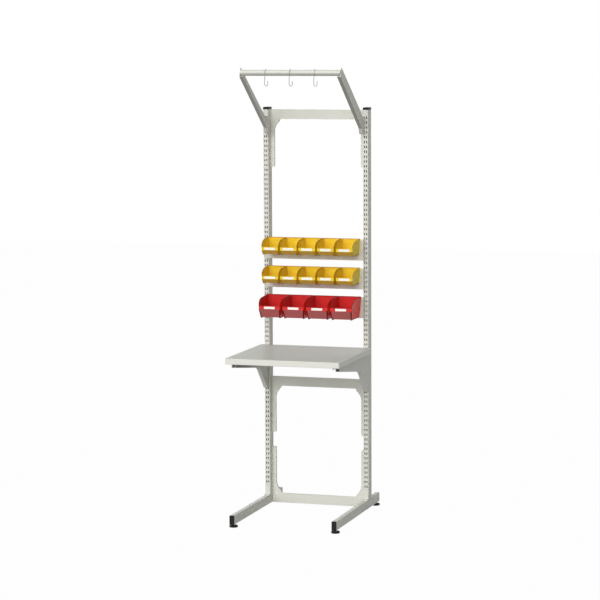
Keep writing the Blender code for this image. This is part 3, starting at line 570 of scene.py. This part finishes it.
# %% Give each solid its finish
FINISH_OF_SLOT = {"ivory_paint": powder_coat, "grey_laminate": laminate, "cream_edging": edging,
                  "black_plastic": black_plastic, "zinc_steel": zinc,
                  "yellow_plastic": BIN_FINISH["yellow"], "red_plastic": BIN_FINISH["red"]}
# These coats carry painted shadow, painted shade and a painted highlight.
OWN_COAT = {"left_arm": arm_shade_coat, "right_arm": arm_shade_coat, "hanger_bar": bar_light_and_shade_coat}
OWN_COAT.update({name: bracket_shadow_coat for name in BRACKETS})
for part in frame["record"]["subparts"]:
    name = part["node"]
    finish = OWN_COAT.get(name, FINISH_OF_SLOT[part["material_slot"]])
    NODES[name].data.materials.clear()
    NODES[name].data.materials.append(finish)

# %% [markdown]
# ## Bin fittings
#
# A bin's rim is rolled into a bead, which stiffens it, and its edges are given a deeper tone as a painted
# shade. The rim follows the side walls: level at the back, then a quarter of an ellipse down to the lip.
# A thin bead in the bin's own finish runs along the lip, an edge goes on down the front corners, and a
# thicker rib stands below it, down to the runner foot, dark as a painted shade. A round section is carried
# along each of these paths. A modifier could bevel the solid's rim instead, but the solid stays as it is,
# and a path can be walked as finely as the picture needs.

# %% The rim as paths
CARD_LEDGE = 0.0016
RIM_START, RIM_LEVEL_POINTS, RIM_ARC_POINTS, RIM_ACROSS_POINTS = 0.003, 6, 26, 12
RUNNER_DEPTH, CORNER_POINTS = 0.004, 16


def half_width(size, height, inset):
    """Half a bin's width, less an inset: it grows in proportion with height from base / 2 to width / 2."""
    return (size["base"] + (size["width"] - size["base"]) * height / size["height"]) / 2 - inset


def rim_paths(size, inset):
    """Points along a bin's two side walls, its lip and its back edge, from the bin's own rear bottom edge.

    A side wall runs nearly level from the back, then follows z = lip + rise * cos(a) and
    y = -(cheek + reach * sin(a)), a quarter of an ellipse.
    """
    reach = size["depth"] - size["lean"] - size["cheek"]
    rise = size["height"] - size["dip"] - size["lip"]
    level = np.linspace(RIM_START, size["cheek"], RIM_LEVEL_POINTS, endpoint=False)
    angle = np.linspace(0, np.pi / 2, RIM_ARC_POINTS)
    y = -np.concatenate([level, size["cheek"] + reach * np.sin(angle)])
    falling = size["height"] - size["dip"] * level / size["cheek"]
    z = np.concatenate([falling, size["lip"] + rise * np.cos(angle)])
    left = np.stack([-half_width(size, z, inset), y, z], axis=-1)
    right = left * MIRROR
    lip = np.linspace(left[-1], right[-1], RIM_ACROSS_POINTS)
    return left, right, lip, np.linspace(left[0], right[0], RIM_ACROSS_POINTS)


def corner_path(size, inset, top, bottom):
    """Points down a bin's right front corner between two heights, on the band and the slope below it.

    The depth is linear in height between the runner's foot, the floor, the band and the lip.
    """
    z = np.linspace(top, bottom, CORNER_POINTS)
    levels = [-RUNNER_DEPTH, 0, size["band"], size["lip"]]
    depths = [size["base_depth"], size["base_depth"], size["depth"], size["depth"] - size["lean"]]
    half = half_width(size, np.maximum(z, 0), inset)
    return np.stack([half, inset - np.interp(z, levels, depths), z], axis=-1)


def place_of(node, size):
    """A bin's rear bottom edge: the middle of its box across, its back, and its top less its height."""
    low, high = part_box(node)
    return np.array([(low.x + high.x) / 2, low.y + size["depth"] + CARD_LEDGE, high.z - size["height"]])


print("points along a side wall:", RIM_LEVEL_POINTS + RIM_ARC_POINTS)

# %% Edges, ribs and lip beads
EDGE_RADIUS, LIP_RADIUS, EDGE_COLUMNS = 0.0016, 0.0011, 10
RIB_BOTTOM = -0.003
for kind, size in BINS.items():
    left, right, lip, back = rim_paths(size, EDGE_RADIUS)
    corner = corner_path(size, EDGE_RADIUS, size["lip"], size["band"])
    foot = corner_path(size, EDGE_RADIUS, size["band"], RIB_BOTTOM)
    lines = [(left, -SIDEWAYS), (right, SIDEWAYS), (back, FORWARDS),
             (corner, SIDEWAYS), (corner * MIRROR, SIDEWAYS)]
    edges = [swept(path, side, EDGE_RADIUS, EDGE_COLUMNS) for path, side in lines]
    ribs = [swept(path, SIDEWAYS, size["foot_radius"], EDGE_COLUMNS) for path in (foot * MIRROR, foot)]
    for node in size["nodes"]:
        place = place_of(node, size)
        bead = swept(lip + place, FORWARDS, LIP_RADIUS, EDGE_COLUMNS)
        # Edges and ribs are in painted shade; the lip bead keeps the bin's own finish.
        for piece in (
                joined_grids(f"{node}_rolled_edges", [edge + place for edge in edges], EDGE_SHADE_FINISH[kind]),
                joined_grids(f"{node}_corner_ribs", [rib + place for rib in ribs], RIB_SHADE_FINISH[kind]),
                joined_grids(f"{node}_lip_bead", [bead], BIN_FINISH[kind])):
            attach(piece, node)
print("rims on", sum(len(size["nodes"]) for size in BINS.values()), "bins")

# %% [markdown]
# ## Label cards
#
# A blank card sits between two ledges on the front band of each bin. It is a thin slab with rounded
# corners that leans with the band, and a real slab throws the fine shadow line that a painted rectangle
# wouldn't.

# %% Cards
CARD_THICKNESS, CARD_GAP = 0.0005, 0.0004
CARD_CORNER, CORNER_STEPS = 0.0012, 6


def card_grid(width, height, thickness):
    """A thin slab with rounded corners, drawn in x and z and carried through in y.

    Each corner is a quarter of a circle, centre + radius * (cos(a), sin(a)), and the next goes on from it.
    """
    angle = np.linspace(0, np.pi / 2, CORNER_STEPS)
    signs = np.array([(1, 1), (-1, 1), (-1, -1), (1, -1)])
    turn = np.arange(len(signs))[:, None] * np.pi / 2 + angle
    centres = signs * (width / 2 - CARD_CORNER, height / 2 - CARD_CORNER)
    ring = centres[:, None] + CARD_CORNER * np.stack([np.cos(turn), np.sin(turn)], axis=-1)
    x, z = ring.reshape(-1, 2).T
    return np.stack([np.stack([x, 0 * x + depth, z], axis=-1) for depth in (0, -thickness)])


for kind, size in BINS.items():
    level = (size["band"] + size["lip"]) / 2
    lean = size["lean"] / (size["lip"] - size["band"])
    grid = card_grid(*size["card"], CARD_THICKNESS)
    grid[..., 2] += level
    grid[..., 1] += (grid[..., 2] - size["band"]) * lean - size["depth"] - CARD_GAP
    for node in size["nodes"]:
        card = joined_grids(f"{node}_card", [grid + place_of(node, size)], card_paper)
        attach(card, node)
print("cards made, each leaning with its band")

# %% [markdown]
# ## End plugs of the deck brackets
#
# Each deck bracket is a folded U, and its open front end is closed by a small grey plastic plug. The plug
# is the card's shape again, thicker, set just inside the bracket's outer side and behind its rounded
# nose.

# %% End plugs
PLUG_WIDTH, PLUG_HEIGHT, PLUG_THICKNESS = 0.0165, 0.013, 0.002
BRACKET_NOSE, PLUG_DROP, PLUG_INSET = 0.050, 0.0158, 0.0005
PLUG_GREY = (0.10, 0.10, 0.094)
plug_plastic = edge_plastic("grey_plug_plastic", PLUG_GREY)
for name in BRACKETS:
    low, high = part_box(name)
    outer, inwards = (low.x, 1) if low.x < 0 else (high.x, -1)
    place = (outer + inwards * (PLUG_INSET + PLUG_WIDTH / 2), low.y + BRACKET_NOSE, high.z - PLUG_DROP)
    grid = card_grid(PLUG_WIDTH, PLUG_HEIGHT, PLUG_THICKNESS) + place
    plug = joined_grids(f"{name}_end_plug", [grid], plug_plastic)
    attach(plug, "bench")
print("end plugs made:", len(BRACKETS))

# %% [markdown]
# ## Hooks
#
# The wire hooks are round rod, bent once round the bar and once into a catch that is turned square to it.
# The solids keep them six-sided. Here the same path is walked more finely: an arc in the plane across the
# bar, an eased shank, and an arc in the plane along the bar. The section's side direction turns by a
# quarter along the shank, which keeps it clear of the path's own direction everywhere.

# %% The hook's centre line
WIRE, WIRE_CLEARANCE = 0.002, 0.0003
CATCH_RADIUS, HOOK_DEPTH, SHANK_TOP, CATCH_RISE, CATCH_BACK = 0.0085, 0.0655, 0.012, 0.016, 0.0054
LOOP_END_DEGREES = -25.2
LOOP_POINTS, SHANK_POINTS, CATCH_POINTS = 40, 20, 28
bar_low, bar_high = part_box("hanger_bar")
BAR_CENTRE, BAR_RADIUS = np.array((bar_low + bar_high) / 2), (bar_high.y - bar_low.y) / 2


def hook_path():
    """The hook's centre line about the bar's axis, and a side direction at each point.

    The loop runs round the bar from behind and below to its front, (0, R * cos(a), R * sin(a)). The shank
    moves from there to the catch, sideways and backwards by 3 * s ** 2 - 2 * s ** 3 of the way at a share s
    of its height. The catch is half a circle, and a straight tip as high as its start ends the wire.
    """
    over = BAR_RADIUS + WIRE + WIRE_CLEARANCE
    middle = CATCH_RADIUS - HOOK_DEPTH
    turn = np.linspace(math.radians(LOOP_END_DEGREES), np.pi, LOOP_POINTS)
    loop = np.stack([0 * turn, over * np.cos(turn), over * np.sin(turn)], axis=-1)
    share = np.linspace(0, 1, SHANK_POINTS)[:, None]
    ease = share * share * (3 - 2 * share)
    start = np.array([0, -over, -SHANK_TOP])
    end = np.array([-CATCH_RADIUS, CATCH_BACK, middle + CATCH_RISE])
    shank = start + (end - start) * np.concatenate([ease, ease, share], axis=1)
    bend = np.linspace(np.pi, 2 * np.pi, CATCH_POINTS)
    back = 0 * bend + CATCH_BACK
    catch = np.stack([CATCH_RADIUS * np.cos(bend), back, middle + CATCH_RADIUS * np.sin(bend)], axis=-1)
    tip = end * MIRROR - np.array([[0, 0, CATCH_RISE / 2], [0, 0, 0]])
    quarter = np.linspace(0, np.pi / 2, SHANK_POINTS)
    facing = np.concatenate([0 * turn, quarter, np.full(len(catch) + len(tip), np.pi / 2)])
    side = np.stack([np.cos(facing), np.sin(facing), 0 * facing], axis=-1)
    return np.concatenate([loop, shank, catch, tip]), side


path, side = hook_path()
print("points on the hook's path:", len(path))

# %% Finer hooks
HOOK_COUNT, HOOK_SPACING = 3, 0.129
WIRE_COLUMNS, WIRE_SMOOTH = 14, math.radians(50)
for k in range(HOOK_COUNT):
    node = f"hook_{k + 1}"
    centre = BAR_CENTRE + SIDEWAYS * (k - (HOOK_COUNT - 1) / 2) * HOOK_SPACING
    hook = joined_grids(f"{node}_wire", [swept(path + centre, side, WIRE, WIRE_COLUMNS)], zinc, WIRE_SMOOTH)
    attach(hook, node)
    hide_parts(node)
print("hooks made:", HOOK_COUNT)

# %% [markdown]
# ## Levelling feet
#
# A levelling foot is a threaded rod in a pad. A thread is one surface too: the radius at an angle and a
# height is the rod's radius less a triangle wave of height over pitch minus the angle's share of a turn,
# which winds the grooves into a helix. That is one grid, where a swept thread on a rod would be two that
# cut into each other.

# %% Threaded rods
PITCH, THREAD_DEPTH, THREAD_EASE = 0.0015, 0.0009, 0.002
ROD_COLUMNS, ROWS_PER_TURN, ROD_SMOOTH = 24, 8, math.radians(60)


def threaded_rod(node):
    """A rod with a wound groove, r = R - depth * |2 * frac(z / pitch - a / turn) - 1|, eased at its ends."""
    low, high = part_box(node)
    centre = ((low.x + high.x) / 2, (low.y + high.y) / 2, 0)
    rows = int((high.z - low.z) / PITCH * ROWS_PER_TURN)
    z = np.linspace(low.z, high.z, rows)[:, None]
    turn = np.linspace(0, 2 * np.pi, ROD_COLUMNS, endpoint=False)[None, :]
    wave = np.abs(2 * np.mod(z / PITCH - turn / (2 * np.pi), 1) - 1)
    ease = np.clip(np.minimum(z - low.z, high.z - z) / THREAD_EASE, 0, 1)
    r = (high.x - low.x) / 2 - THREAD_DEPTH * (wave * ease + 1 - ease)
    return np.stack([r * np.cos(turn), r * np.sin(turn), z + 0 * turn], axis=-1) + centre


for corner in ("front_left", "front_right", "rear_left", "rear_right"):
    node = f"{corner}_stem"
    rod = joined_grids(f"{node}_thread", [threaded_rod(node)], zinc, ROD_SMOOTH)
    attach(rod, f"{corner}_foot")
    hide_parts(node)
print("threads wound with a pitch of", PITCH, "m")

# %% [markdown]
# ## Screws
#
# A small dome-headed screw sits near the top of each post and clamps the cross frame. A head is round, so
# its profile is turned about the screw's axis, which points forwards.

# %% Screw heads on the posts
SCREW_RADIUS, DOME_HEIGHT, DOME_ARC = 0.0028, 0.0010, 0.98
DOME_CENTRE, DOME_POINTS, SCREW_COLUMNS = 0.02, 9, 24
WASHER_RADIUS, WASHER_TOP_RADIUS, WASHER_EDGE, WASHER_TOP = 0.00378, 0.0035, 0.0004, 0.0006
SCREW_DROP, SCREW_SHIFT = 0.0173, -0.0055


def screw_head(centre):
    """A washer and a dome, turned about y: (r * sin(a), -h, r * cos(a)) for each radius r and height h.

    The dome's height over the washer is DOME_HEIGHT * sqrt(1 - (DOME_ARC * r / SCREW_RADIUS) ** 2).
    """
    share = np.linspace(1, DOME_CENTRE, DOME_POINTS)
    dome_height = WASHER_TOP + DOME_HEIGHT * np.sqrt(1 - (share * DOME_ARC) ** 2)
    r = np.concatenate([[WASHER_RADIUS, WASHER_RADIUS, WASHER_TOP_RADIUS], SCREW_RADIUS * share])[:, None]
    h = np.concatenate([[0, WASHER_EDGE, WASHER_TOP], dome_height])[:, None]
    turn = np.linspace(0, 2 * np.pi, SCREW_COLUMNS, endpoint=False)
    return np.stack([r * np.sin(turn), 0 * turn - h, r * np.cos(turn)], axis=-1) + centre


for side_name in ("left", "right"):
    low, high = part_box(f"{side_name}_post")
    centre = ((low.x + high.x) / 2 + SCREW_SHIFT, low.y, high.z - SCREW_DROP)
    head = joined_grids(f"{side_name}_post_screw", [screw_head(centre)], powder_coat)
    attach(head, "bench")
print("screw heads: one near the top of each post")

# %% [markdown]
# ## Welds
#
# Each post stands on its leg and is welded to it on all four sides. A weld bead is a thin round rope
# along the joint, and its radius ripples, because the welder lays it down step by step.

# %% Weld beads
WELD_RADIUS, SIDE_WELD_RADIUS, WELD_COLUMNS = 0.0016, 0.0013, 8
WELD_STEP, WELD_RIPPLE, POINTS_PER_STEP = 0.0022, 0.10, 5
WELD_TAPER, WELD_TIP = 0.004, 0.25
WELD_LIFT, WELD_END_GAP, WELD_HALF_LENGTH = 0.0003, 0.004, 0.010


def weld_bead(start, end, side, radius):
    """A rope from start to end of radius * (1 + ripple * sin(2 * pi * s / step)), thinner at its ends."""
    start, end = np.array(start), np.array(end)
    length = np.linalg.norm(end - start)
    along = np.linspace(0, 1, int(length / WELD_STEP * POINTS_PER_STEP))
    ripple = 1 + WELD_RIPPLE * np.sin(2 * np.pi * along * length / WELD_STEP)
    taper = np.clip(np.minimum(along, 1 - along) * length / WELD_TAPER + WELD_TIP, 0, 1)
    return swept(start + (end - start) * along[:, None], side, radius * ripple * taper, WELD_COLUMNS)


for side_name in ("left", "right"):
    low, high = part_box(f"{side_name}_post")
    middle, level = (low.x + high.x) / 2, low.z + WELD_LIFT
    front, rear = low.y + WELD_END_GAP, high.y - WELD_END_GAP
    left, right = middle - WELD_HALF_LENGTH, middle + WELD_HALF_LENGTH
    beads = [weld_bead((x, front, level), (x, rear, level), SIDEWAYS, SIDE_WELD_RADIUS)
             for x in (low.x, high.x)]
    beads += [weld_bead((left, y, level), (right, y, level), -FORWARDS, WELD_RADIUS)
              for y in (low.y, high.y)]
    weld = joined_grids(f"{side_name}_post_welds", beads, powder_coat)
    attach(weld, "bench")
print("weld beads round each post:", len(beads))

# %% [markdown]
# ## Studio
#
# The floor is wide and pale, and lies lower than the pads by the travel of a levelling foot, so that a
# foot that is screwed out still shows. What the camera sees of it is lifted towards white, so that it
# reads as a studio sweep, and the rest of its material still takes the bench's shadow. The world is white
# to the camera, in reflections and through clear pieces, and is otherwise a weaker, even fill. Both are a
# mix of two shaders, chosen by the kind of ray that arrives.

# %% Shaders chosen by the kind of ray
def grey_shader(tree, kind, tone):
    """A shader node with a neutral colour of one tone."""
    node = tree.nodes.new(kind)
    node.inputs["Color"].default_value = (tone, tone, tone, 1)
    return node


def seen_by(tree, *kinds):
    """1 for a ray of any of the given kinds and 0 for every other."""
    rays = tree.nodes.new("ShaderNodeLightPath")
    share = rays.outputs[kinds[0]]
    for kind in kinds[1:]:
        share = worked(tree, "MAXIMUM", share, rays.outputs[kind])
    return share


def mixed_output(tree, kind, share, first, second):
    """Send a mix of two shaders to the tree's output: a share of 0 gives the first, 1 the second."""
    mix = tree.nodes.new("ShaderNodeMixShader")
    for value, socket in zip((share, first.outputs[0], second.outputs[0]), mix.inputs):
        tree.links.new(value, socket)
    tree.links.new(mix.outputs[0], tree.nodes.new(kind).inputs["Surface"])


print("rays are told apart")

# %% Floor
FLOOR_SIZE, FLOOR_DROP = 30.0, 0.0155
FLOOR_TONE, FLOOR_LIFT = 0.34, 0.985
floor_finish = bpy.data.materials.new("studio_floor")
floor_finish.use_nodes = True
tree = floor_finish.node_tree
tree.nodes.clear()
lifted = worked(tree, "MULTIPLY", seen_by(tree, "Is Camera Ray", "Is Glossy Ray"), FLOOR_LIFT)
matte = grey_shader(tree, "ShaderNodeBsdfDiffuse", FLOOR_TONE)
mixed_output(tree, "ShaderNodeOutputMaterial", lifted, matte, grey_shader(tree, "ShaderNodeEmission", 1))
corners = np.array([[-1, -1, 0], [1, -1, 0], [1, 1, 0], [-1, 1, 0]]) * FLOOR_SIZE / 2 - (0, 0, FLOOR_DROP)
floor = mesh_piece("studio_floor", corners, [[0, 1, 2, 3]], floor_finish)
print("floor made:", FLOOR_SIZE, "m wide")

# %% World
FILL = 0.238
world = bpy.data.worlds.new("studio")
bpy.context.scene.world = world
world.use_nodes = True
tree = world.node_tree
tree.nodes.clear()
fill = grey_shader(tree, "ShaderNodeBackground", 1)
fill.inputs["Strength"].default_value = FILL
seen = seen_by(tree, "Is Camera Ray", "Is Glossy Ray", "Is Transmission Ray")
mixed_output(tree, "ShaderNodeOutputWorld", seen, fill, grey_shader(tree, "ShaderNodeBackground", 1))
print("world fill:", FILL)

# %% [markdown]
# ## Lamps
#
# One large soft lamp stands in front, a little above: fronts are bright, tops less, and what looks down
# is darker. A weak lamp from the right opens the sides, one from above the tops, and one from behind
# keeps the back readable. They are suns, so the light is the same on the whole bench, and the wide angle
# of each makes its shadows soft. Only the top lamp shows in reflections, as a sheen on the deck.

# %% Lamps, each by the direction that its light comes from
LAMPS = {
    "key_lamp": {"from": (-0.08, -0.92, 0.34), "energy": 2.18, "spread": 50, "mirrored": False},
    "side_lamp": {"from": (0.86, -0.45, 0.24), "energy": 0.20, "spread": 60, "mirrored": False},
    "top_lamp": {"from": (-0.20, -0.30, 0.93), "energy": 0.20, "spread": 50, "mirrored": True},
    "back_lamp": {"from": (-0.40, 0.89, 0.22), "energy": 0.90, "spread": 60, "mirrored": False},
}
for name, lamp in LAMPS.items():
    lamp_data = bpy.data.lights.new(name, "SUN")
    lamp_data.energy = lamp["energy"]
    lamp_data.angle = math.radians(lamp["spread"])
    lamp_object = bpy.data.objects.new(name, lamp_data)
    bpy.context.scene.collection.objects.link(lamp_object)
    lamp_object.rotation_euler = Vector(lamp["from"]).to_track_quat("Z", "Y").to_euler()
    lamp_object.visible_glossy = lamp["mirrored"]
print("lamps:", ", ".join(LAMPS))

# %% [markdown]
# ## Camera
#
# The picture was taken from far away with a long lens, well to the right and a little above the hanger
# bar. Its place, turn and lens were worked out from the slots of both posts, whose spacing is known, so
# the solids fall on the picture without any scaling. The turn is a yaw, a small tilt down and a very
# small roll, in radians.

# %% Camera
CAMERA_PLACE = Vector((3.718111, -11.981679, 2.538076))
YAW, TILT, ROLL = 0.3030443, -0.1119304, -0.0046104
LENS, SENSOR_WIDTH, VIEW_DEPTH = 147.2916, 36.0, 200.0
level_ahead = Vector((-math.sin(YAW), math.cos(YAW), 0))
ahead = level_ahead * math.cos(TILT) + Vector((0, 0, math.sin(TILT)))
right = Vector((math.cos(YAW), math.sin(YAW), 0))
up = right.cross(ahead)
right, up = right * math.cos(ROLL) + up * math.sin(ROLL), up * math.cos(ROLL) - right * math.sin(ROLL)
camera_data = bpy.data.cameras.new("camera")
camera_data.lens = LENS
camera_data.sensor_width = SENSOR_WIDTH
camera_data.clip_end = VIEW_DEPTH
camera = bpy.data.objects.new("camera", camera_data)
bpy.context.scene.collection.objects.link(camera)
turn = Matrix((right, up, -ahead)).transposed().to_4x4()
camera.matrix_world = Matrix.Translation(CAMERA_PLACE) @ turn
bpy.context.scene.camera = camera
bpy.context.scene.view_settings.view_transform = "Standard"
print("camera at", tuple(round(v, 3) for v in CAMERA_PLACE), "lens", LENS)
